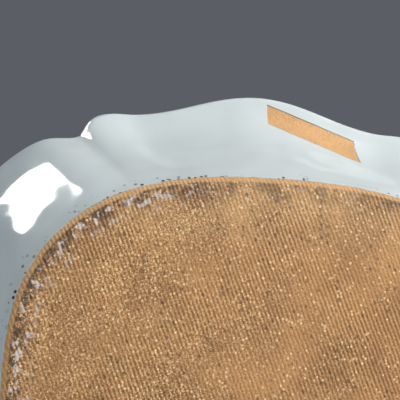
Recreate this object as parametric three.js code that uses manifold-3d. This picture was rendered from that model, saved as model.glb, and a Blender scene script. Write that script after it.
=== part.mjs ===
// A shell-shaped porcelain dish with a bracket-shaped handle, standing on its flat unglazed base.
// Units are millimetres. +Z is up, +Y points to the handle, and the origin is under the middle.

import * as THREE from 'three';
import Module from 'manifold-3d';

const wasm = await Module();
wasm.setup();
const { Manifold, Mesh } = wasm;

// Rim seen from above: a rounded shell, fuller on the handle side

const RIM_HALF_WIDTH = 125; // from the middle to the rim at each side
const RIM_HANDLE_REACH = 109; // to the shell's own rim on the handle side
const RIM_FAR_REACH = 118; // to the rim opposite the handle
const RIM_HANDLE_POWER = 2.8; // squareness of the shoulders beside the handle
const RIM_FAR_POWER = 2.2; // squareness of the far side, nearly an ellipse

// Handle seen from above: a bracket with one soft crest and two round ends

const CREST_OVERHANG = 9; // how far the crest stands out past the shell's own rim
const HANDLE_REACH = RIM_HANDLE_REACH + CREST_OVERHANG;
const CREST_RISE = 11.2; // how far the crest stands out past the handle's arms
const CREST_HALF_WIDTH = 55; // where the crest has run out into the arms
const HANDLE_HALF_WIDTH = 76; // from the middle to the notch at each round end
const HANDLE_END_DROP = 12; // how far each round end falls back towards the dish

// Notch between each shoulder and the handle

const NOTCH_DEPTH = 4.2; // how far the rim dips in
const NOTCH_SPREAD = 8; // distance along the rim in which the dip fades

// Flat base

const BASE_HALF_WIDTH = 97;
const BASE_HANDLE_REACH = 77.5; // to its edge under the handle
const BASE_FAR_REACH = 84; // to its edge on the far side
const BASE_HANDLE_POWER = 2.6; // squareness, as on the rim
const BASE_FAR_POWER = 2.3;
const FOOT_BEVEL_WIDTH = 1.6; // trimmed edge of the base, where the glaze stops
const FOOT_BEVEL_HEIGHT = 0.9;

// Heights and wall

const BODY_RIM_HEIGHT = 42;
const HANDLE_RIM_HEIGHT = 50;
const FLOOR_THICKNESS = 6;
const FLOOR_EDGE_INSET = 5; // from the base's edge in to where the inner wall starts to rise
const RIM_THICKNESS = 3.8;

// Joint where the handle was luted to the dish

const SEAM_HEIGHT = 30; // the handle starts here, above the lower wall
const SEAM_GAP = 0.3; // clearance between the two pieces of clay

// Fineness of the surfaces

const RAYS = 200; // steps around the dish
const WALL_STEPS = 10; // steps up each side of the wall
const LIP_STEPS = 5; // steps over the round lip

const GLAZE = { color: 0xc5d3d3, roughness: 0.18, metalness: 0.0 };

// Wall profiles as fractions of the wall's run and rise: two inner points of a cubic curve

const OUTSIDE = {
  shell: { low: [0.3, 0.2], high: [0.78, 0.62] },
  handle: { low: [0.28, 0.3], high: [0.5, 0.96] },
};
const INSIDE = {
  shell: { low: [0.25, 0.06], high: [0.78, 0.6] },
  handle: { low: [0.25, 0.1], high: [0.5, 0.96] },
};

function superellipseRadius(angle, halfWidth, handleReach, farReach, handlePower, farPower) {
  const onHandleSide = Math.sin(angle) > 0;
  const power = onHandleSide ? handlePower : farPower;
  const across = Math.abs(Math.cos(angle)) / halfWidth;
  const along = Math.abs(Math.sin(angle)) / (onHandleSide ? handleReach : farReach);
  return (across ** power + along ** power) ** (-1 / power);
}

// The handle's outer edge as a height over X: a cosine crest, then a quarter-ellipse end
function handleEdge(x) {
  const arm = HANDLE_REACH - CREST_RISE;
  const distance = Math.abs(x);
  if (distance < CREST_HALF_WIDTH) {
    return arm + (CREST_RISE / 2) * (1 + Math.cos((Math.PI * distance) / CREST_HALF_WIDTH));
  }
  const along = (distance - CREST_HALF_WIDTH) / (HANDLE_HALF_WIDTH - CREST_HALF_WIDTH);
  return along < 1 ? arm - HANDLE_END_DROP * (1 - Math.sqrt(1 - along * along)) : -Infinity;
}

// Distance from the middle to the handle's edge along one ray, by halving
function handleRadius(angle) {
  if (Math.sin(angle) <= 0) {
    return 0;
  }
  let near = 0;
  let far = 2 * HANDLE_REACH;
  for (let step = 0; step < 40; step += 1) {
    const middle = (near + far) / 2;
    const isInside = middle * Math.sin(angle) < handleEdge(middle * Math.cos(angle));
    near = isInside ? middle : near;
    far = isInside ? far : middle;
  }
  return near;
}

function shellRimRadius(angle) {
  return superellipseRadius(
    angle, RIM_HALF_WIDTH, RIM_HANDLE_REACH, RIM_FAR_REACH, RIM_HANDLE_POWER, RIM_FAR_POWER,
  );
}

// Angle from the handle's axis at which the shell's own rim is as wide as the handle
function findNotchAngle() {
  let inHandle = 0;
  let inShell = Math.PI / 2;
  for (let step = 0; step < 40; step += 1) {
    const middle = (inHandle + inShell) / 2;
    const isHandle = shellRimRadius(Math.PI / 2 - middle) * Math.sin(middle) < HANDLE_HALF_WIDTH;
    inHandle = isHandle ? middle : inHandle;
    inShell = isHandle ? inShell : middle;
  }
  return inHandle;
}

const NOTCH_ANGLE = findNotchAngle();

function angleFromHandle(angle) {
  return Math.acos(Math.min(1, Math.max(-1, Math.sin(angle))));
}

function rimRadius(angle) {
  const radius = Math.max(shellRimRadius(angle), handleRadius(angle));
  const fromNotch = (angleFromHandle(angle) - NOTCH_ANGLE) * radius;
  return radius - NOTCH_DEPTH * Math.exp(-((fromNotch / NOTCH_SPREAD) ** 2));
}

function baseRadius(angle) {
  return superellipseRadius(
    angle, BASE_HALF_WIDTH, BASE_HANDLE_REACH, BASE_FAR_REACH, BASE_HANDLE_POWER, BASE_FAR_POWER,
  );
}

// 1 in the handle, 0 in the shell, with a soft change at the notch
function handleShare(angle) {
  const halfBlend = NOTCH_SPREAD / RIM_HANDLE_REACH;
  const from = NOTCH_ANGLE - 3 * halfBlend;
  const to = NOTCH_ANGLE + 2 * halfBlend;
  return 1 - THREE.MathUtils.smoothstep(angleFromHandle(angle), from, to);
}

// Points of a cubic curve from start to end, whose inner points are mixed from two profiles
function wallCurve(start, end, profiles, share) {
  const inner = (name) => {
    const run = THREE.MathUtils.lerp(profiles.shell[name][0], profiles.handle[name][0], share);
    const rise = THREE.MathUtils.lerp(profiles.shell[name][1], profiles.handle[name][1], share);
    return new THREE.Vector2(
      start.x + run * (end.x - start.x),
      start.y + rise * (end.y - start.y),
    );
  };
  return new THREE.CubicBezierCurve(start, inner('low'), inner('high'), end);
}

// The cross-section along one ray as points of radius and height, from the base up and over
function section(angle) {
  const share = handleShare(angle);
  const base = baseRadius(angle);
  const lipRadius = RIM_THICKNESS / 2;
  const lipMiddle = new THREE.Vector2(
    rimRadius(angle) - lipRadius,
    THREE.MathUtils.lerp(BODY_RIM_HEIGHT, HANDLE_RIM_HEIGHT, share) - lipRadius,
  );
  const foot = new THREE.Vector2(base, FOOT_BEVEL_HEIGHT);
  const floorEdge = new THREE.Vector2(base - FLOOR_EDGE_INSET, FLOOR_THICKNESS);
  const outgoing = wallCurve(foot, lipMiddle, OUTSIDE, share).getTangent(1);
  const lipPoint = (turn) => new THREE.Vector2(
    lipMiddle.x + lipRadius * Math.cos(turn),
    lipMiddle.y + lipRadius * Math.sin(turn),
  );
  const outerTurn = Math.atan2(outgoing.y, outgoing.x) - Math.PI / 2;
  const outside = wallCurve(foot, lipPoint(outerTurn), OUTSIDE, share).getPoints(WALL_STEPS);
  const inside = wallCurve(floorEdge, lipPoint(outerTurn + Math.PI), INSIDE, share)
    .getPoints(WALL_STEPS)
    .reverse();
  const lip = [];
  for (let step = 1; step < LIP_STEPS; step += 1) {
    lip.push(lipPoint(outerTurn + (Math.PI * step) / LIP_STEPS));
  }
  return [new THREE.Vector2(base - FOOT_BEVEL_WIDTH, 0), ...outside, ...lip, ...inside];
}

// The whole fired dish as one closed skin: rings of section points between two middle points
function dishSolid() {
  const sections = Array.from({ length: RAYS }, (_, ray) => section((2 * Math.PI * ray) / RAYS));
  const rings = sections[0].length;
  const positions = [];
  sections.forEach((points, ray) => {
    const angle = (2 * Math.PI * ray) / RAYS;
    points.forEach((point) => {
      positions.push(point.x * Math.cos(angle), point.x * Math.sin(angle), point.y);
    });
  });
  const baseMiddle = positions.length / 3;
  positions.push(0, 0, 0, 0, 0, FLOOR_THICKNESS);
  const floorMiddle = baseMiddle + 1;
  const triangles = [];
  for (let ray = 0; ray < RAYS; ray += 1) {
    const here = ray * rings;
    const next = ((ray + 1) % RAYS) * rings;
    triangles.push(baseMiddle, next, here);
    for (let ring = 0; ring < rings - 1; ring += 1) {
      triangles.push(here + ring, next + ring, next + ring + 1);
      triangles.push(here + ring, next + ring + 1, here + ring + 1);
    }
    triangles.push(floorMiddle, here + rings - 1, next + rings - 1);
  }
  return new Manifold(new Mesh({
    numProp: 3,
    vertProperties: new Float32Array(positions),
    triVerts: new Uint32Array(triangles),
  }));
}

// The wedge of space that the handle takes up, from the middle out past both notches
function handleSpace(clearance) {
  const reach = 2 * RIM_HALF_WIDTH;
  const side = NOTCH_ANGLE;
  const corner = [reach * Math.tan(side) + clearance / Math.cos(side), reach];
  const tip = -clearance / Math.sin(side);
  const outline = [[0, tip], corner, [-corner[0], corner[1]]];
  return Manifold.extrude([outline], HANDLE_RIM_HEIGHT).translate([0, 0, SEAM_HEIGHT - clearance]);
}

function toNode(name, solid) {
  const mesh = solid.getMesh();
  const geometry = new THREE.BufferGeometry();
  geometry.setAttribute('position', new THREE.BufferAttribute(
    Float32Array.from(mesh.vertProperties), mesh.numProp,
  ));
  geometry.setIndex(new THREE.BufferAttribute(Uint32Array.from(mesh.triVerts), 1));
  geometry.computeVertexNormals();
  const node = new THREE.Mesh(geometry, new THREE.MeshStandardMaterial(GLAZE));
  node.name = name;
  return node;
}

const dish = dishSolid();
const part = new THREE.Group();
part.name = 'shell_dish';
part.add(toNode('dish_body', dish.subtract(handleSpace(SEAM_GAP))));
part.add(toNode('handle_tab', dish.intersect(handleSpace(0))));

export default part;
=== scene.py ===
# %% [markdown]
# # A porcelain dish seen from below
# The dish stands on a flat base that was never glazed, and the camera looks up at that base.
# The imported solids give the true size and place. This file adds the looks: the glaze, the
# bare clay with the cloth that was pressed into it, and the grit from the kiln.

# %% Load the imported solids
import math

import bpy
import numpy as np
from mathutils import Matrix, Vector


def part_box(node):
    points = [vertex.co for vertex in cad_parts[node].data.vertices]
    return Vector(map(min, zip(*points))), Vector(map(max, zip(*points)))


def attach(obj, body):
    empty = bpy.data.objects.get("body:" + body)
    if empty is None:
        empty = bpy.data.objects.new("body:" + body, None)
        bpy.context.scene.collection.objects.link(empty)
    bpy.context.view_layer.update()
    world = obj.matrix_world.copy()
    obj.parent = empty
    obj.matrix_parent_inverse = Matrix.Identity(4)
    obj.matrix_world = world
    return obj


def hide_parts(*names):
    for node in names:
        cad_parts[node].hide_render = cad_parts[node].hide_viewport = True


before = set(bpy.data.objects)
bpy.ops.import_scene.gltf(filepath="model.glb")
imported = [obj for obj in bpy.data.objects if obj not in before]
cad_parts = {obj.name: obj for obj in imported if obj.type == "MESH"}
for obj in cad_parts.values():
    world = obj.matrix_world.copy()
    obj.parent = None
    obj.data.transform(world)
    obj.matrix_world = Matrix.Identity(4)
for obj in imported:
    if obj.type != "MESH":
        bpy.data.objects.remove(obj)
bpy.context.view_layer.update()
body_low, body_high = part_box("dish_body")
_, handle_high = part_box("handle_tab")

# %% [markdown]
# ## Sizes
# Overall sizes are read from the solids, so the dressed dish follows them. The rest are the
# same real sizes that the solids were drawn with, written in millimetres.

# %% Sizes of the dish
MM = 0.001
RIM_HALF_WIDTH = body_high[0]
RIM_FAR_REACH = -body_low[1]
RIM_HANDLE_REACH = 109 * MM
RIM_HANDLE_POWER = 2.8  # squareness of the shoulders
RIM_FAR_POWER = 2.2
HANDLE_REACH = handle_high[1]
HANDLE_HALF_WIDTH = 76 * MM
HANDLE_END_DROP = 12 * MM
CREST_RISE = 11.2 * MM
CREST_HALF_WIDTH = 55 * MM
NOTCH_DEPTH = 4.2 * MM
NOTCH_SPREAD = 8 * MM
BLEND_INWARD, BLEND_OUTWARD = 3, 2  # reach of the handle's profile past the notch, in spreads
BASE_HALF_WIDTH = 97 * MM
BASE_HANDLE_REACH = 77.5 * MM
BASE_FAR_REACH = 84 * MM
BASE_HANDLE_POWER = 2.6
BASE_FAR_POWER = 2.3
BEVEL_WIDTH = 1.6 * MM
BEVEL_HEIGHT = 0.9 * MM
BODY_RIM_HEIGHT = 42 * MM
HANDLE_RIM_HEIGHT = handle_high[2]
FLOOR_THICKNESS = 6 * MM
FLOOR_EDGE_INSET = 5 * MM
RIM_THICKNESS = 3.8 * MM
BASE_HOLLOW = 0.4 * MM  # the bare base is very slightly hollow

# %% Fineness of the surfaces
RAYS = 360
TRIAL_RAYS = 20000  # finer rays, used only to find the notch
HALVINGS = 40  # steps in the search for the handle's edge
WALL_STEPS = 26
LIP_STEPS = 10

# %% [markdown]
# ## The outline from above
# Such a dish is pressed over a mould whose outline is a rounded shell. A superellipse gives
# that outline with one formula, and its power sets how square the shoulders are. The handle's
# edge is a cosine crest with a quarter of an ellipse at each end. The rim is whichever of the
# two reaches further, with a soft dip where they meet.

# %% The shell's outline
def superellipse(angles, half_width, handle_reach, far_reach, handle_power, far_power):
    on_handle_side = np.sin(angles) > 0
    power = np.where(on_handle_side, handle_power, far_power)
    reach = np.where(on_handle_side, handle_reach, far_reach)
    across = np.abs(np.cos(angles)) / half_width
    along = np.abs(np.sin(angles)) / reach
    return (across ** power + along ** power) ** (-1 / power)


# %% The handle's outline
def handle_edge(x):
    arm = HANDLE_REACH - CREST_RISE
    distance = np.abs(x)
    crest = arm + CREST_RISE / 2 * (1 + np.cos(np.pi * distance / CREST_HALF_WIDTH))
    along = (distance - CREST_HALF_WIDTH) / (HANDLE_HALF_WIDTH - CREST_HALF_WIDTH)
    end = arm - HANDLE_END_DROP * (1 - np.sqrt(np.clip(1 - along ** 2, 0, 1)))
    beyond = np.where(along < 1, end, -1.0)
    return np.where(distance < CREST_HALF_WIDTH, crest, beyond)


def handle_radius(angles):
    near = np.zeros_like(angles)
    far = near + 2 * HANDLE_REACH
    for _ in range(HALVINGS):
        middle = (near + far) / 2
        inside = middle * np.sin(angles) < handle_edge(middle * np.cos(angles))
        near = np.where(inside, middle, near)
        far = np.where(inside, far, middle)
    return np.where(np.sin(angles) > 0, near, 0)


# %% The rim and the base along every ray
angles = np.arange(RAYS) * math.tau / RAYS
shell_radius = superellipse(angles, RIM_HALF_WIDTH, RIM_HANDLE_REACH, RIM_FAR_REACH,
                            RIM_HANDLE_POWER, RIM_FAR_POWER)
from_handle = np.arccos(np.clip(np.sin(angles), -1, 1))
trial = np.linspace(0, math.pi / 2, TRIAL_RAYS)
trial_rim = superellipse(math.pi / 2 - trial, RIM_HALF_WIDTH, RIM_HANDLE_REACH, RIM_FAR_REACH,
                         RIM_HANDLE_POWER, RIM_FAR_POWER)
notch_angle = trial[trial_rim * np.sin(trial) < HANDLE_HALF_WIDTH].max()
rim_radius = np.maximum(shell_radius, handle_radius(angles))
from_notch = (from_handle - notch_angle) * rim_radius
rim_radius = rim_radius - NOTCH_DEPTH * np.exp(-((from_notch / NOTCH_SPREAD) ** 2))
base_radius = superellipse(angles, BASE_HALF_WIDTH, BASE_HANDLE_REACH, BASE_FAR_REACH,
                           BASE_HANDLE_POWER, BASE_FAR_POWER)
print("notch at", round(math.degrees(notch_angle), 1), "degrees from the handle's axis")


# %% How much of the handle's profile each ray has
def smooth(value, low, high):
    share = np.clip((value - low) / (high - low), 0, 1)
    return share * share * (3 - 2 * share)


half_blend = NOTCH_SPREAD / RIM_HANDLE_REACH
handle_share = 1 - smooth(from_handle, notch_angle - BLEND_INWARD * half_blend,
                           notch_angle + BLEND_OUTWARD * half_blend)

# %% [markdown]
# ## The wall
# Along each ray the wall is a cubic curve from the base's edge to the round lip. In the handle
# the curve is steeper below and nearly level at the top, so the handle flares out like a shelf.
# The inside has a curve of its own, which leaves the clay thicker at the bottom.

# %% Wall profiles as shares of the run and rise
OUTSIDE = {"shell": ((0.30, 0.20), (0.78, 0.62)), "handle": ((0.28, 0.30), (0.50, 0.96))}
INSIDE = {"shell": ((0.25, 0.06), (0.78, 0.60)), "handle": ((0.25, 0.10), (0.50, 0.96))}


def wall_curve(start, end, profiles, steps):
    inner = []
    for shell_point, handle_point in zip(profiles["shell"], profiles["handle"]):
        shares = [a + (b - a) * handle_share for a, b in zip(shell_point, handle_point)]
        inner.append(start + np.array(shares) * (end - start))
    low, high = inner
    t = np.linspace(0, 1, steps + 1)[:, None, None]
    curve = ((1 - t) ** 3 * start + 3 * (1 - t) ** 2 * t * low
             + 3 * (1 - t) * t ** 2 * high + t ** 3 * end)
    return curve, end - high


# %% The cross-section along every ray
lip_radius = RIM_THICKNESS / 2
rim_height = BODY_RIM_HEIGHT + (HANDLE_RIM_HEIGHT - BODY_RIM_HEIGHT) * handle_share
lip_middle = np.array([rim_radius - lip_radius, rim_height - lip_radius])
foot = np.array([base_radius, np.full(RAYS, BEVEL_HEIGHT)])
floor_edge = np.array([base_radius - FLOOR_EDGE_INSET, np.full(RAYS, FLOOR_THICKNESS)])
_, outgoing = wall_curve(foot, lip_middle, OUTSIDE, 1)
outer_turn = np.arctan2(outgoing[1], outgoing[0]) - math.pi / 2


def lip_point(turn):
    return lip_middle + lip_radius * np.array([np.cos(turn), np.sin(turn)])


outside, _ = wall_curve(foot, lip_point(outer_turn), OUTSIDE, WALL_STEPS)
inside, _ = wall_curve(floor_edge, lip_point(outer_turn + math.pi), INSIDE, WALL_STEPS)
lip = [lip_point(outer_turn + math.pi * step / LIP_STEPS) for step in range(1, LIP_STEPS)]

# %% Rings of the flat base, from its middle out to the bevel
BASE_RING_INSETS = [inset * MM for inset in (60, 45, 30, 20, 14, 10, 8, 6.5, 5, 4, 3.2, 2.6, 2.1)]
FLOOR_RING_INSETS = [inset * MM for inset in (4, 12, 30, 55)]
HOLLOW_FROM, HOLLOW_TO = 2 * MM, 10 * MM
base_rings = []
for inset in [*BASE_RING_INSETS, BEVEL_WIDTH]:
    depth = BASE_HOLLOW * smooth(np.full(RAYS, inset), HOLLOW_FROM, HOLLOW_TO)
    base_rings.append(np.array([base_radius - inset, depth]))
floor_rings = [np.array([base_radius - FLOOR_EDGE_INSET - inset,
                         np.full(RAYS, FLOOR_THICKNESS)]) for inset in FLOOR_RING_INSETS]
rings = np.array(base_rings + list(outside) + lip + list(inside)[::-1] + floor_rings)
first_wall = len(base_rings)
first_lip = first_wall + WALL_STEPS + 1
lip_crown = first_lip + LIP_STEPS // 2 - 1
print("rings in the skin:", len(rings))

# %% [markdown]
# ## One closed skin
# The rings are joined with four-sided faces, and one point closes the base and one the floor.
# Two measurements go with every point, as attributes that the material reads: how far it lies
# in from the edge of the base, and how far it lies from the top of the lip.

# %% Distances that the material reads
FAR_AWAY = 1.0  # a distance that no mask reaches
BASE_MIDDLE_DEPTH = 0.08  # from the base's middle to its edge, roughly
spacing = np.linalg.norm(np.diff(rings, axis=0), axis=1)
travelled = np.concatenate([np.zeros((1, RAYS)), np.cumsum(spacing, axis=0)])
from_edge = travelled[first_wall] - travelled
from_edge[first_lip:] = -FAR_AWAY  # the glazed inside is far from the base's edge
from_lip = np.abs(travelled - travelled[lip_crown])

# %% Build the skin
points = np.stack([rings[:, 0] * np.cos(angles), rings[:, 0] * np.sin(angles), rings[:, 1]],
                  axis=-1)
corners = [tuple(point) for point in points.reshape(-1, 3)]
base_middle = len(corners)
corners += [(0, 0, BASE_HOLLOW), (0, 0, FLOOR_THICKNESS)]
faces = []
for ray in range(RAYS):
    following = (ray + 1) % RAYS
    faces.append((base_middle, following, ray))
    for ring in range(len(rings) - 1):
        here, above = ring * RAYS, (ring + 1) * RAYS
        faces.append((here + ray, here + following, above + following, above + ray))
    last = (len(rings) - 1) * RAYS
    faces.append((base_middle + 1, last + ray, last + following))
dish_mesh = bpy.data.meshes.new("glazed_dish")
dish_mesh.from_pydata(corners, [], faces)
dish_mesh.shade_smooth()
for name, values, middles in (("from_edge", from_edge, (BASE_MIDDLE_DEPTH, -FAR_AWAY)),
                              ("from_lip", from_lip, (FAR_AWAY, FAR_AWAY))):
    attribute = dish_mesh.attributes.new(name, "FLOAT", "POINT")
    attribute.data.foreach_set("value", np.append(values.ravel(), middles))
dish = bpy.data.objects.new("glazed_dish", dish_mesh)
bpy.context.scene.collection.objects.link(dish)
print("dish faces:", len(faces))

# %% [markdown]
# ## Small helpers for node trees
# Every material below is a tree of nodes. These helpers add a node, set what is a plain value
# and link what comes from another node, so that each recipe reads from top to bottom.

# %% Helpers
def fill(tree, socket, value):
    if isinstance(value, bpy.types.NodeSocket):
        tree.links.new(value, socket)
    elif value is not None:
        socket.default_value = value


def add(tree, kind, settings=None, inputs=None):
    node = tree.nodes.new(kind)
    for name, value in (settings or {}).items():
        setattr(node, name, value)
    for name, value in (inputs or {}).items():
        fill(tree, node.inputs[name], value)
    return node


def maths(tree, operation, first, second=0.0):
    node = add(tree, "ShaderNodeMath", {"operation": operation}, {0: first, 1: second})
    return node.outputs[0]


def ramp(tree, value, low, high, start=0.0, end=1.0):
    node = add(tree, "ShaderNodeMapRange", {"interpolation_type": "SMOOTHSTEP"},
               {"Value": value, "From Min": low, "From Max": high, "To Min": start, "To Max": end})
    return node.outputs["Result"]


def blend(tree, share, first, second):
    node = add(tree, "ShaderNodeMix", {"data_type": "RGBA"}, {0: share, 6: first, 7: second})
    return node.outputs[2]


def noise(tree, where, scale, detail=2.0):
    node = add(tree, "ShaderNodeTexNoise", None,
               {"Vector": where, "Scale": scale, "Detail": detail})
    return node.outputs["Fac"]


def product(tree, first, *others):
    for other in others:
        first = maths(tree, "MULTIPLY", first, other)
    return first


def tint(tree, colour, mask, strength, other):
    return blend(tree, maths(tree, "MULTIPLY", mask, strength), colour, other)


def between(tree, distance, starts, ends):
    return maths(tree, "MULTIPLY", ramp(tree, distance, *starts), ramp(tree, distance, *ends))


# Linear colour, as sockets take it, from the 0 to 255 of a picture
def shade(red, green, blue):
    linear = []
    for value in (red, green, blue):
        share = value / 255
        linear.append(share / 12.92 if share <= 0.04045 else ((share + 0.055) / 1.055) ** 2.4)
    return (*linear, 1.0)


def new_group(name, inputs, output):
    group = bpy.data.node_groups.new(name, "ShaderNodeTree")
    for label, kind in inputs:
        group.interface.new_socket(label, in_out="INPUT", socket_type=kind)
    group.interface.new_socket(output, in_out="OUTPUT", socket_type="NodeSocketFloat")
    return group, group.nodes.new("NodeGroupInput"), group.nodes.new("NodeGroupOutput")


def use_group(tree, group, inputs):
    return add(tree, "ShaderNodeGroup", {"node_tree": group}, inputs).outputs[0]


# %% [markdown]
# ## Cloth pressed into clay
# Wet clay was laid on coarse cloth, and the threads left two sets of fine ridges. A wave texture
# makes one set. The group turns the pattern with a Mapping node and adds a second, weaker set
# across the first. Its height goes into a Bump node, because threads this fine need no geometry.

# %% Pressed cloth group
WAVE_BANDS = 20  # the wave texture has this many radians to a unit at scale 1
CROSS_SHARE = 0.22  # height of the crossing threads against the main ones
CLOTH_LEAN = math.radians(23)
cloth_group, cloth_in, cloth_out = new_group(
    "Pressed cloth",
    [("Vector", "NodeSocketVector"), ("Pitch", "NodeSocketFloat"), ("Wander", "NodeSocketFloat")],
    "Height")
turned = add(cloth_group, "ShaderNodeMapping", None,
             {"Vector": cloth_in.outputs["Vector"], "Rotation": (0, 0, CLOTH_LEAN)})
wave_scale = maths(cloth_group, "DIVIDE", math.tau / WAVE_BANDS, cloth_in.outputs["Pitch"])
threads = []
for direction in ("X", "Y"):
    wave = add(cloth_group, "ShaderNodeTexWave", {"bands_direction": direction},
               {"Vector": turned.outputs[0], "Scale": wave_scale,
                "Distortion": cloth_in.outputs["Wander"], "Detail": 2.0, "Detail Scale": 0.3})
    threads.append(wave.outputs["Fac"])
crossing = maths(cloth_group, "MULTIPLY", threads[1], CROSS_SHARE)
cloth_group.links.new(maths(cloth_group, "ADD", threads[0], crossing), cloth_out.inputs["Height"])

# %% [markdown]
# ## Flecks
# Sand, iron spots and grit all show as small separate dots. A Voronoi texture splits the surface
# into cells. The group keeps only some cells, by their random colour, and draws a dot in each.

# %% Flecks group
DOT_CORE = 0.6  # share of each dot that is solid colour
flecks_group, flecks_in, flecks_out = new_group(
    "Flecks",
    [("Vector", "NodeSocketVector"), ("Scale", "NodeSocketFloat"),
     ("Share", "NodeSocketFloat"), ("Size", "NodeSocketFloat")],
    "Mask")
cells = add(flecks_group, "ShaderNodeTexVoronoi", None,
            {"Vector": flecks_in.outputs["Vector"], "Scale": flecks_in.outputs["Scale"]})
cell_value = add(flecks_group, "ShaderNodeSeparateColor", None, {"Color": cells.outputs["Color"]})
kept = maths(flecks_group, "LESS_THAN", cell_value.outputs["Red"], flecks_in.outputs["Share"])
soft_edge = maths(flecks_group, "MULTIPLY", flecks_in.outputs["Size"], DOT_CORE)
dot = ramp(flecks_group, cells.outputs["Distance"], flecks_in.outputs["Size"], soft_edge)
flecks_group.links.new(maths(flecks_group, "MULTIPLY", kept, dot), flecks_out.inputs["Mask"])

# %% [markdown]
# ## One skin, two finishes
# Glaze and bare clay meet in a wavering line at the foot, so one material holds both. A mask
# from the distance to the base's edge, shaken by noise, mixes their colours, roughness and
# relief. A second mask bares a strip of clay under the handle.

# %% Places and masks
porcelain = bpy.data.materials.new("glazed porcelain")
porcelain.use_nodes = True
tree = porcelain.node_tree
tree.nodes.clear()
where = add(tree, "ShaderNodeTexCoord").outputs["Object"]
edge_distance = add(tree, "ShaderNodeAttribute", {"attribute_name": "from_edge"}).outputs["Fac"]
lip_distance = add(tree, "ShaderNodeAttribute", {"attribute_name": "from_lip"}).outputs["Fac"]
GLAZE_LINE = -0.5 * MM
LINE_SOFTNESS = 0.25 * MM
LINE_WANDER = 1.2 * MM
wobble = maths(tree, "SUBTRACT", noise(tree, where, 160, 3), 0.5)
wander = maths(tree, "MULTIPLY", wobble, LINE_WANDER)
shaken = maths(tree, "ADD", edge_distance, wander)
base_mask = ramp(tree, shaken, GLAZE_LINE - LINE_SOFTNESS, GLAZE_LINE + LINE_SOFTNESS)

# %% The bare strip under the handle
STRIP_FROM_X, STRIP_TO_X = -39.3 * MM, -2.7 * MM
STRIP_LOWER_Y, STRIP_LOWER_SLOPE = 107.7 * MM, 0.39
STRIP_UPPER_Y, STRIP_UPPER_SLOPE = 116.0 * MM, 0.34
STRIP_SOFTNESS = 0.3 * MM
STRIP_WANDER = 0.4  # its edges wander less than the line at the foot
INSIDE_LIMIT = -0.5  # from_edge lies below this on the inside of the dish
place = add(tree, "ShaderNodeSeparateXYZ", None, {"Vector": where})
strip_x, strip_y = [
    maths(tree, "ADD", place.outputs[axis], maths(tree, "MULTIPLY", wander, STRIP_WANDER))
    for axis in ("X", "Y")]
lower = maths(tree, "ADD", maths(tree, "MULTIPLY", strip_x, STRIP_LOWER_SLOPE), STRIP_LOWER_Y)
upper = maths(tree, "ADD", maths(tree, "MULTIPLY", strip_x, STRIP_UPPER_SLOPE), STRIP_UPPER_Y)
sides = [
    ramp(tree, strip_x, STRIP_FROM_X - STRIP_SOFTNESS, STRIP_FROM_X + STRIP_SOFTNESS),
    ramp(tree, strip_x, STRIP_TO_X + STRIP_SOFTNESS, STRIP_TO_X - STRIP_SOFTNESS),
    ramp(tree, maths(tree, "SUBTRACT", strip_y, lower), -STRIP_SOFTNESS, STRIP_SOFTNESS),
    ramp(tree, maths(tree, "SUBTRACT", upper, strip_y), -STRIP_SOFTNESS, STRIP_SOFTNESS),
    maths(tree, "GREATER_THAN", edge_distance, INSIDE_LIMIT),
]
bare = maths(tree, "MAXIMUM", base_mask, product(tree, *sides))

# %% [markdown]
# ## The clay's colour
# The clay is built up in layers, each a mask that blends one more colour in: painted light
# that makes the handle's side paler, soil in patches, darker grooves of the cloth, fine sand
# whose pale grains are partly painted glints, then soot, fused sand and flecks that gather
# near the edge. Distances are measured in from the edge of the base.

# %% The clay's colours and strengths
CLAY = shade(204, 152, 94)
CLAY_DARK = shade(128, 84, 48)
CLAY_PALE = shade(254, 214, 160)
FLASHED = shade(218, 168, 112)  # the orange band that the kiln leaves beside glaze
GRIT_DARK = shade(84, 64, 48)
CRUST = shade(236, 222, 214)  # pale kiln sand fused to the clay
THREAD_PITCH = 1.47 * MM
THREAD_WANDER = 1.6
THREAD_FADE = (0.4, 1.0)  # the cloth pressed less deeply in places
PAINTED_LIGHT_SIDE = 0.35  # painted light: the clay is made paler towards the handle, the side the raking lamp comes from
PATCH_STRENGTH = 0.45
GROOVE_DARKENING = 0.55
PALE_SAND_AND_GLINT, DARK_SAND = 1.0, 0.8
SAND_SIDES = (0.3, 1.0)  # sand lies thicker towards +X
SAND_CLOUDS = (0.55, 1.0)
CRUST_SIDES = (0.15, 1.0)  # and so does what the kiln left
GRIT_STRENGTH = 0.5
SOOT_STRENGTH = 0.85
CRUST_STRENGTH = 0.75
BAND_STRENGTH = 0.75
DARK_FLECKS = {"Scale": 420, "Share": 0.3, "Size": 0.36}
DARK_FLECK_STRENGTH = 0.55
# pale flecks: partly pale grit in the clay, partly painted glints
PALE_FLECKS_AND_GLINTS = {"Scale": 900, "Share": 0.14, "Size": 0.5}
PALE_FLECK_AND_GLINT_STRENGTH = 0.85

# %% Cloth, patches and sand
cloth = use_group(tree, cloth_group,
                  {"Vector": where, "Pitch": THREAD_PITCH, "Wander": THREAD_WANDER})
faded = ramp(tree, noise(tree, where, 30, 2), 0.38, 0.6, *THREAD_FADE)
cloth_depth = maths(tree, "MULTIPLY", base_mask, faded)
patches = ramp(tree, noise(tree, where, 45, 4), 0.35, 0.68)
# painted light: the clay is made paler on the handle's side, where the raking lamp comes from
painted_light_side = ramp(tree, place.outputs["Y"], 45 * MM, 76 * MM, 0, PAINTED_LIGHT_SIDE)
clay_colour = blend(tree, painted_light_side, CLAY, CLAY_PALE)
clay_colour = tint(tree, clay_colour, patches, PATCH_STRENGTH, CLAY_DARK)
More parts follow.
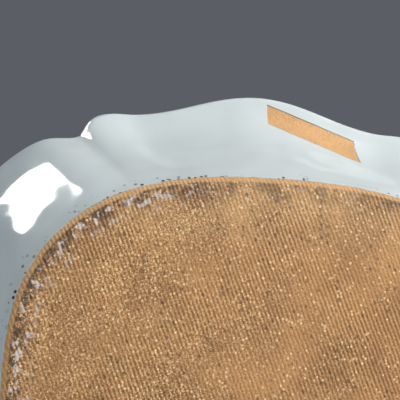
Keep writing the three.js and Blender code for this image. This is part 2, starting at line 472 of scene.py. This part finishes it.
# the clay is made darker in the grooves of the cloth
grooves = maths(tree, "MULTIPLY", ramp(tree, cloth, 0.75, 0.15, 0, GROOVE_DARKENING), cloth_depth)
clay_colour = blend(tree, grooves, clay_colour, CLAY_DARK)
fine_grain = noise(tree, where, 1700, 3)
sandiness = maths(tree, "MULTIPLY",
                  ramp(tree, place.outputs["X"], -45 * MM, 60 * MM, *SAND_SIDES),
                  ramp(tree, noise(tree, where, 38, 3), 0.4, 0.62, *SAND_CLOUDS))
# the pale grains are partly pale sand and partly painted glints of the raking light
pale_grain_and_glint = maths(tree, "MULTIPLY", ramp(tree, fine_grain, 0.52, 0.66, 0, PALE_SAND_AND_GLINT), sandiness)
dark_grain = maths(tree, "MULTIPLY", ramp(tree, fine_grain, 0.48, 0.34, 0, DARK_SAND), sandiness)
clay_colour = blend(tree, pale_grain_and_glint, clay_colour, CLAY_PALE)
clay_colour = blend(tree, dark_grain, clay_colour, CLAY_DARK)

# %% Soot, fused sand and flecks near the edge
grit_zone = maths(tree, "MULTIPLY", ramp(tree, edge_distance, 12 * MM, 4 * MM),
                  ramp(tree, noise(tree, where, 110, 4), 0.42, 0.62))
clay_colour = tint(tree, clay_colour, grit_zone, GRIT_STRENGTH, GRIT_DARK)
kiln_side = ramp(tree, place.outputs["X"], 5 * MM, 60 * MM, *CRUST_SIDES)
soot = product(tree, between(tree, edge_distance, (1.2 * MM, 2.2 * MM), (8 * MM, 3.5 * MM)),
               kiln_side, ramp(tree, noise(tree, where, 420, 3), 0.44, 0.56))
clay_colour = tint(tree, clay_colour, soot, SOOT_STRENGTH, GRIT_DARK)
crust = product(tree, between(tree, edge_distance, (2.0 * MM, 3.2 * MM), (13 * MM, 5 * MM)),
                kiln_side, ramp(tree, noise(tree, where, 330, 3), 0.53, 0.63))
clay_colour = tint(tree, clay_colour, crust, CRUST_STRENGTH, CRUST)
dark_flecks = use_group(tree, flecks_group, {"Vector": where, **DARK_FLECKS})
clay_colour = tint(tree, clay_colour, dark_flecks, DARK_FLECK_STRENGTH, GRIT_DARK)
# pale flecks, partly pale grit and partly painted glints of the raking light
pale_flecks_and_glints = use_group(tree, flecks_group, {"Vector": where, **PALE_FLECKS_AND_GLINTS})
clay_colour = tint(tree, clay_colour, pale_flecks_and_glints, PALE_FLECK_AND_GLINT_STRENGTH, CLAY_PALE)
band = ramp(tree, shaken, 2.2 * MM, 1.3 * MM)
clay_colour = tint(tree, clay_colour, band, BAND_STRENGTH, FLASHED)

# %% [markdown]
# ## The glaze's colour
# The glaze is nearly even, a little darker where it pooled above the foot. Iron spots gather
# there too, and a thin line of brown shows where the glaze wore thin on the lip.

# %% Colour of the glaze
GLAZE = shade(216, 225, 227)
GLAZE_POOLED = shade(202, 214, 215)
IRON_SPOT = shade(52, 44, 40)
RIM_LINE = shade(150, 74, 44)
POOL_STRENGTH = 0.7
CLOUD_STRENGTH = 0.5
IRON_SPOTS = {"Scale": 520, "Share": 0.42, "Size": 0.42}
LINE_WEAR = (0.25, 0.9)  # strength of the brown line where it is faint and where it is full
pooled = maths(tree, "MULTIPLY", ramp(tree, edge_distance, -9 * MM, -1 * MM), POOL_STRENGTH)
cloudy = maths(tree, "MULTIPLY", noise(tree, where, 22, 2), CLOUD_STRENGTH)
glaze_colour = blend(tree, maths(tree, "MAXIMUM", pooled, cloudy), GLAZE, GLAZE_POOLED)
near_foot = maths(tree, "MULTIPLY", ramp(tree, edge_distance, -7 * MM, -0.8 * MM),
                  ramp(tree, noise(tree, where, 60, 3), 0.40, 0.55))
iron_spots = use_group(tree, flecks_group, {"Vector": where, **IRON_SPOTS})
glaze_colour = tint(tree, glaze_colour, iron_spots, near_foot, IRON_SPOT)
line_wear = ramp(tree, noise(tree, where, 70, 4), 0.35, 0.6, *LINE_WEAR)
rim_line = maths(tree, "MULTIPLY", ramp(tree, lip_distance, 1.1 * MM, 0.5 * MM), line_wear)
glaze_colour = blend(tree, rim_line, glaze_colour, RIM_LINE)

# %% [markdown]
# ## Relief and finish
# Threads and sand are too fine for geometry, so one height feeds a Bump node. The glaze gets a
# slow, shallow flow that bends the edges of what it mirrors.

# %% Relief: threads and sand in the clay, a soft flow in the glaze
THREAD_HEIGHT = 0.2 * MM
SAND_HEIGHT = 0.45 * MM
GLAZE_THICKNESS = 0.2 * MM
FLOW_HEIGHT = 1.3 * MM
sand = maths(tree, "MULTIPLY", noise(tree, where, 1000, 3), SAND_HEIGHT)
pressed = maths(tree, "MULTIPLY", maths(tree, "MULTIPLY", cloth, cloth_depth), THREAD_HEIGHT)
clay_height = maths(tree, "ADD", pressed, sand)
flow = maths(tree, "MULTIPLY", noise(tree, where, 50, 1), FLOW_HEIGHT)
glaze_height = maths(tree, "ADD", flow, GLAZE_THICKNESS)
height = add(tree, "ShaderNodeMix", {"data_type": "FLOAT"},
             {0: bare, 2: glaze_height, 3: clay_height})
relief = add(tree, "ShaderNodeBump", None,
             {"Strength": 1.0, "Distance": 1.0, "Height": height.outputs[0]})

# %% Put the two finishes together
GLAZE_ROUGHNESS = 0.09
CLAY_ROUGHNESS = 0.62
surface = add(tree, "ShaderNodeBsdfPrincipled", None, {
    "Base Color": blend(tree, bare, glaze_colour, clay_colour),
    "Roughness": ramp(tree, bare, 0, 1, GLAZE_ROUGHNESS, CLAY_ROUGHNESS),
    "Normal": relief.outputs["Normal"],
})
add(tree, "ShaderNodeOutputMaterial", None, {"Surface": surface.outputs["BSDF"]})
dish_mesh.materials.append(porcelain)

# %% [markdown]
# ## Kiln grit
# Grains of sand from the kiln floor stuck to the clay just inside the glaze line. They repeat
# by the hundred, so Geometry Nodes scatter them: points on the base wherever an attribute is
# high, a low sphere on each point, and a random size from a fixed seed.

# %% Where the grit lies
THIN_SIDE = 0.25  # share of the grit that the thinner side keeps
side_share = THIN_SIDE + (1 - THIN_SIDE) * smooth(np.cos(angles), -0.2, 0.7)
grit_share = (smooth(from_edge, 2.2 * MM, 3.4 * MM) * (1 - smooth(from_edge, 5 * MM, 9 * MM))
              * side_share)
grit_share[first_wall:] = 0
attribute = dish_mesh.attributes.new("grit", "FLOAT", "POINT")
attribute.data.foreach_set("value", np.append(grit_share.ravel(), [0, 0]))

# %% Material of the grit
grit_material = bpy.data.materials.new("kiln grit")
grit_material.use_nodes = True
grit_tree = grit_material.node_tree
grit_tree.nodes.clear()
grit_where = add(grit_tree, "ShaderNodeTexCoord").outputs["Object"]
SOOTY_GRAIN, PALE_GRAIN = shade(92, 70, 54), shade(226, 212, 200)
GRIT_ROUGHNESS = 0.5
grit_mix = ramp(grit_tree, noise(grit_tree, grit_where, 500, 1), 0.45, 0.55)
grit_colour = blend(grit_tree, grit_mix, SOOTY_GRAIN, PALE_GRAIN)
grit_surface = add(grit_tree, "ShaderNodeBsdfPrincipled", None,
                   {"Base Color": grit_colour, "Roughness": GRIT_ROUGHNESS})
add(grit_tree, "ShaderNodeOutputMaterial", None, {"Surface": grit_surface.outputs["BSDF"]})

# %% Scatter the grit
GRAINS_PER_SQUARE_METRE = 160000
GRAIN_RADIUS = 0.22 * MM
GRAIN_SEED = 7
SMALLEST_GRAIN, LARGEST_GRAIN = (0.6, 0.6, 0.4), (1.6, 1.6, 0.7)  # as shares of the radius
grit_nodes = bpy.data.node_groups.new("Scatter grit", "GeometryNodeTree")
grit_nodes.interface.new_socket("Geometry", in_out="INPUT", socket_type="NodeSocketGeometry")
for label in ("Density", "Grain radius"):
    grit_nodes.interface.new_socket(label, in_out="INPUT", socket_type="NodeSocketFloat")
grit_nodes.interface.new_socket("Geometry", in_out="OUTPUT", socket_type="NodeSocketGeometry")
grit_in = grit_nodes.nodes.new("NodeGroupInput")
grit_out = grit_nodes.nodes.new("NodeGroupOutput")
grit_amount = add(grit_nodes, "GeometryNodeInputNamedAttribute", {"data_type": "FLOAT"},
                  {"Name": "grit"})
density = maths(grit_nodes, "MULTIPLY", grit_amount.outputs["Attribute"],
                grit_in.outputs["Density"])
scattered = add(grit_nodes, "GeometryNodeDistributePointsOnFaces", None,
                {"Mesh": grit_in.outputs["Geometry"], "Density": density, "Seed": GRAIN_SEED})
grain = add(grit_nodes, "GeometryNodeMeshIcoSphere", None,
            {"Radius": grit_in.outputs["Grain radius"], "Subdivisions": 1})
grain_size = add(grit_nodes, "FunctionNodeRandomValue", {"data_type": "FLOAT_VECTOR"},
                 {0: SMALLEST_GRAIN, 1: LARGEST_GRAIN, "Seed": GRAIN_SEED})
grains = add(grit_nodes, "GeometryNodeInstanceOnPoints", None,
             {"Points": scattered.outputs["Points"], "Instance": grain.outputs["Mesh"],
              "Rotation": scattered.outputs["Rotation"], "Scale": grain_size.outputs[0]})
whole = add(grit_nodes, "GeometryNodeRealizeInstances", None, {"Geometry": grains.outputs[0]})
finished = add(grit_nodes, "GeometryNodeSetMaterial", None,
               {"Geometry": whole.outputs[0], "Material": grit_material})
grit_nodes.links.new(finished.outputs[0], grit_out.inputs[0])

# %% Turn the grit into a plain mesh
scatterer = bpy.data.objects.new("grit_scatterer", dish_mesh)
bpy.context.scene.collection.objects.link(scatterer)
modifier = scatterer.modifiers.new("Scatter grit", "NODES")
modifier.node_group = grit_nodes
sockets = {item.name: item.identifier for item in grit_nodes.interface.items_tree
           if item.in_out == "INPUT"}
modifier[sockets["Density"]] = float(GRAINS_PER_SQUARE_METRE)
modifier[sockets["Grain radius"]] = GRAIN_RADIUS
evaluated = scatterer.evaluated_get(bpy.context.evaluated_depsgraph_get())
grit_mesh = bpy.data.meshes.new_from_object(evaluated)
grit_mesh.name = "kiln_grit"
grit = bpy.data.objects.new("kiln_grit", grit_mesh)
bpy.context.scene.collection.objects.link(grit)
bpy.data.objects.remove(scatterer)
print("grit faces:", len(grit_mesh.polygons))

# %% [markdown]
# ## Tie the pieces to the solids
# The dish has no moving piece, so everything rides the one body. The dressed dish stands for
# both solids, because the fired clay and its glaze run over the joint without a break.

# %% Ride and replace
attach(dish, "root")
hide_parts("dish_body", "handle_tab")
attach(grit, "root")

# %% [markdown]
# ## Floor and light
# From above, the dish stands on a pale floor. The camera of the main picture is under the floor,
# so the floor's material lets rays through from behind, and the floor casts no shadow.

# %% Floor
FLOOR_SIZE = 6
FLOOR_DROP = 0.5 * MM  # keeps the floor clear of the base
floor_mesh = bpy.data.meshes.new("floor")
half = FLOOR_SIZE / 2
floor_mesh.from_pydata([(-half, -half, 0), (half, -half, 0), (half, half, 0), (-half, half, 0)],
                       [], [(0, 1, 2, 3)])
floor = bpy.data.objects.new("floor", floor_mesh)
floor.location.z = -FLOOR_DROP
bpy.context.scene.collection.objects.link(floor)
floor_material = bpy.data.materials.new("pale floor")
floor_material.use_nodes = True
floor_tree = floor_material.node_tree
floor_tree.nodes.clear()
floor_top = add(floor_tree, "ShaderNodeBsdfDiffuse", None, {"Color": shade(214, 212, 208)})
see_through = add(floor_tree, "ShaderNodeBsdfTransparent")
behind = add(floor_tree, "ShaderNodeNewGeometry").outputs["Backfacing"]
floor_mix = add(floor_tree, "ShaderNodeMixShader", None,
                {0: behind, 1: floor_top.outputs[0], 2: see_through.outputs[0]})
add(floor_tree, "ShaderNodeOutputMaterial", None, {"Surface": floor_mix.outputs[0]})
floor_mesh.materials.append(floor_material)
floor.visible_shadow = False
floor.visible_diffuse = False

# %% [markdown]
# ## Lamps
# A low lamp beside the handle rakes across the base and picks out the cloth. A window-like lamp
# at the side gives the white shapes on the glazed shoulder. A broad lamp overhead serves the
# views from above, and the world adds a little light from everywhere.

# %% Lamps
def lamp(name, place, aim, size, power, colour=(1, 1, 1)):
    light = bpy.data.lights.new(name, "AREA")
    light.shape = "RECTANGLE"
    light.size, light.size_y = size
    light.energy = power
    light.color = colour
    thing = bpy.data.objects.new(name, light)
    thing.location = place
    thing.rotation_euler = (Vector(aim) - Vector(place)).to_track_quat("-Z", "Y").to_euler()
    bpy.context.scene.collection.objects.link(thing)
    return thing


BASE_SPOT = (0.02, 0.05, 0)
lamp("raking_lamp", place=(-0.40, 0.50, -0.20), aim=BASE_SPOT, size=(0.20, 0.12), power=2.4,
     colour=(1.0, 0.95, 0.88))
window = lamp("window_lamp", place=(0.50, 0.61, 0.12), aim=(0.08, 0.08, 0.02), size=(0.32, 0.24),
              power=7.0)
window.visible_diffuse = False
lamp("under_fill", place=(-0.45, 0.10, -0.65), aim=BASE_SPOT, size=(0.5, 0.5), power=3.1)
lamp("overhead_lamp", place=(-0.45, -0.55, 1.0), aim=(0, 0, 0.02), size=(0.9, 0.9), power=9.0)

# %% World: soft light, with a slate tone behind the dish when seen from below
world = bpy.data.worlds.new("studio")
bpy.context.scene.world = world
world.use_nodes = True
sky = world.node_tree
sky.nodes.clear()
SLATE = shade(92, 94, 101)
PALE_WALL = shade(206, 206, 206)
SLATE_HEIGHTS = (0.35, 0.8)  # pale wall below the first, slate above the second
GLOW = (0.9, 0.95, 1.0, 1.0)
GLOW_STRENGTH = 0.38
ray_height = add(sky, "ShaderNodeSeparateXYZ", None,
                 {"Vector": add(sky, "ShaderNodeTexCoord").outputs["Generated"]}).outputs["Z"]
backdrop = add(sky, "ShaderNodeBackground", None,
               {"Color": blend(sky, ramp(sky, ray_height, *SLATE_HEIGHTS), PALE_WALL, SLATE)})
glow = add(sky, "ShaderNodeBackground", None, {"Color": GLOW, "Strength": GLOW_STRENGTH})
seen = add(sky, "ShaderNodeLightPath").outputs["Is Camera Ray"]
sky_mix = add(sky, "ShaderNodeMixShader", None,
              {0: seen, 1: glow.outputs[0], 2: backdrop.outputs[0]})
add(sky, "ShaderNodeOutputWorld", None, {"Surface": sky_mix.outputs[0]})

# %% [markdown]
# ## Camera
# The camera looks almost straight at the base, from a little to one side. The place, aim and
# turn below were found by matching the rim and the base's edge.

# %% Camera
CAMERA_PLACE = Vector((0.1081, 0.0081, -0.4263))
CAMERA_AIM = Vector((0.0313, 0.0679, 0.0))
CAMERA_UP = Vector((0.0691, 0.9896, -0.1264))
CAMERA_LENS = 110
NEAREST_SEEN = 0.01
camera_data = bpy.data.cameras.new("camera")
camera_data.lens = CAMERA_LENS
camera_data.clip_start = NEAREST_SEEN
camera = bpy.data.objects.new("camera", camera_data)
bpy.context.scene.collection.objects.link(camera)
backward = (CAMERA_PLACE - CAMERA_AIM).normalized()
rightward = CAMERA_UP.cross(backward).normalized()
upward = backward.cross(rightward)
camera.matrix_world = Matrix.Translation(CAMERA_PLACE) @ Matrix(
    (rightward, upward, backward)).transposed().to_4x4()
bpy.context.scene.camera = camera
bpy.context.scene.view_settings.view_transform = "Standard"
